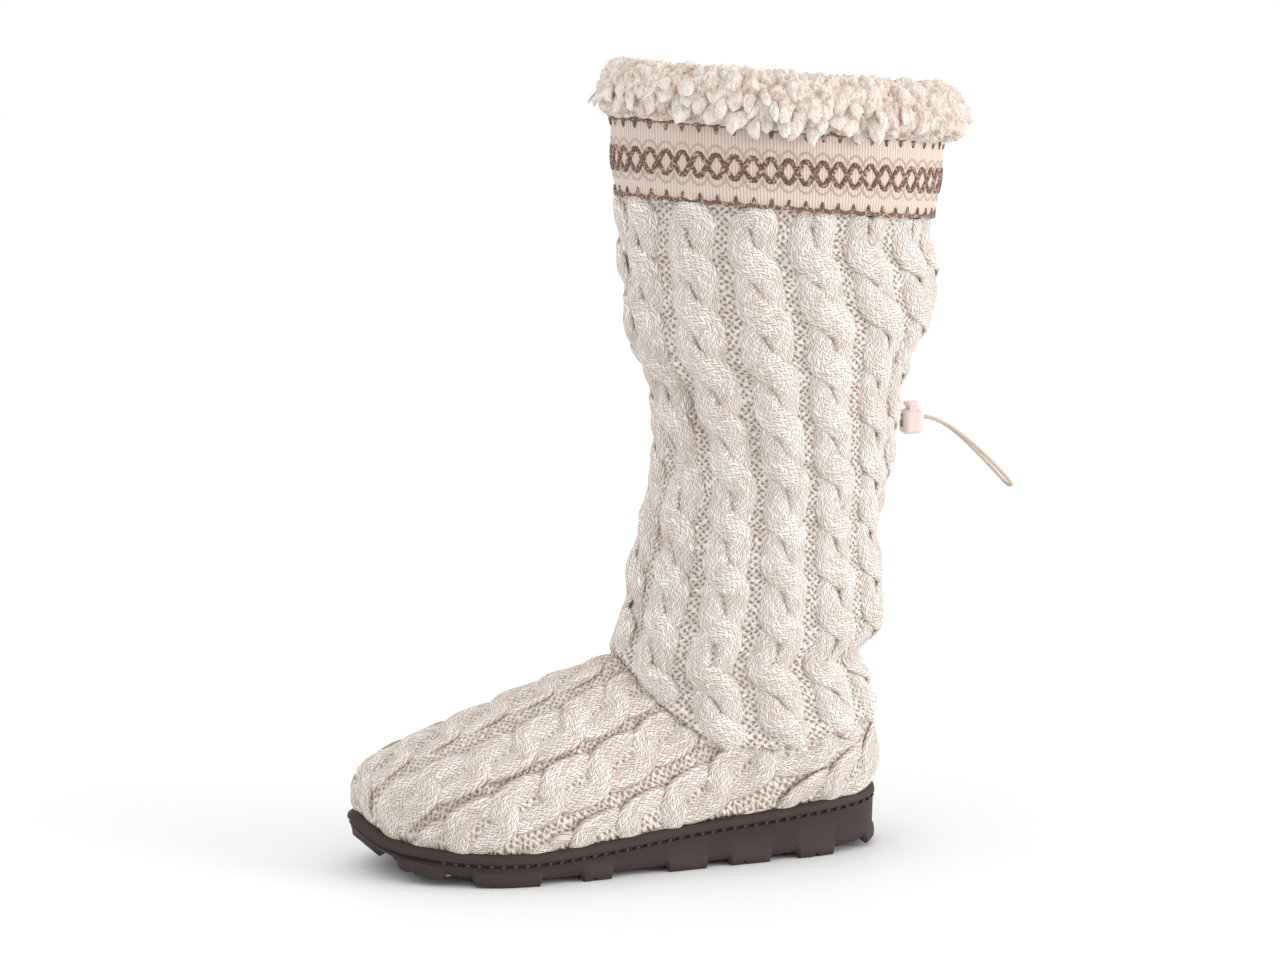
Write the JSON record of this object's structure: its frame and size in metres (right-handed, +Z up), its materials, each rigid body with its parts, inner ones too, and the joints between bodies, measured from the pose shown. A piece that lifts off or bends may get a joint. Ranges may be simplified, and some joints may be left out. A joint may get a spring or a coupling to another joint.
{
  "type": "slipper boot",
  "caption": "Knee-high cable-knit slipper boot for the left foot: lugged rubber sole, slouch shaft, patterned band, fleece cuff, and a drawcord with a spring cord lock at the back.",
  "frame": {"origin": "on the floor, under the middle of the boot's box without the drawcord and its lock", "axes": "+X towards the toe, +Y towards the outer side of the left foot, +Z up from the floor"},
  "size_m": [0.3344, 0.1374, 0.3888],
  "materials": {
    "rubber": "dark brown moulded rubber, satin",
    "insole_fleece": "short cream fleece",
    "foot_knit": "marled cream and tan cable knit",
    "shaft_knit": "marled cream and tan cable knit",
    "band_weave": "cream woven band with a brown traditional pattern",
    "fleece": "curly cream fleece",
    "lock_plastic": "pale moulded plastic, satin",
    "button_plastic": "pale moulded plastic, satin",
    "cord": "braided elastic cord"
  },
  "bodies": {
    "boot": {"outsole": "rubber", "insole": "insole_fleece", "upper": "foot_knit", "shaft": "shaft_knit", "band": "band_weave", "fleece_cuff": "fleece", "cord_lock_barrel": "lock_plastic", "drawcord": "cord"},
    "button": {"cord_lock_button": "button_plastic"}
  },
  "joints": [
    {"name": "button_press", "type": "slide", "parent": "boot", "child": "button", "axis": [0, 0, -1], "range_m": [0, 0.0014], "stiffness_N_per_m": 400}
  ]
}
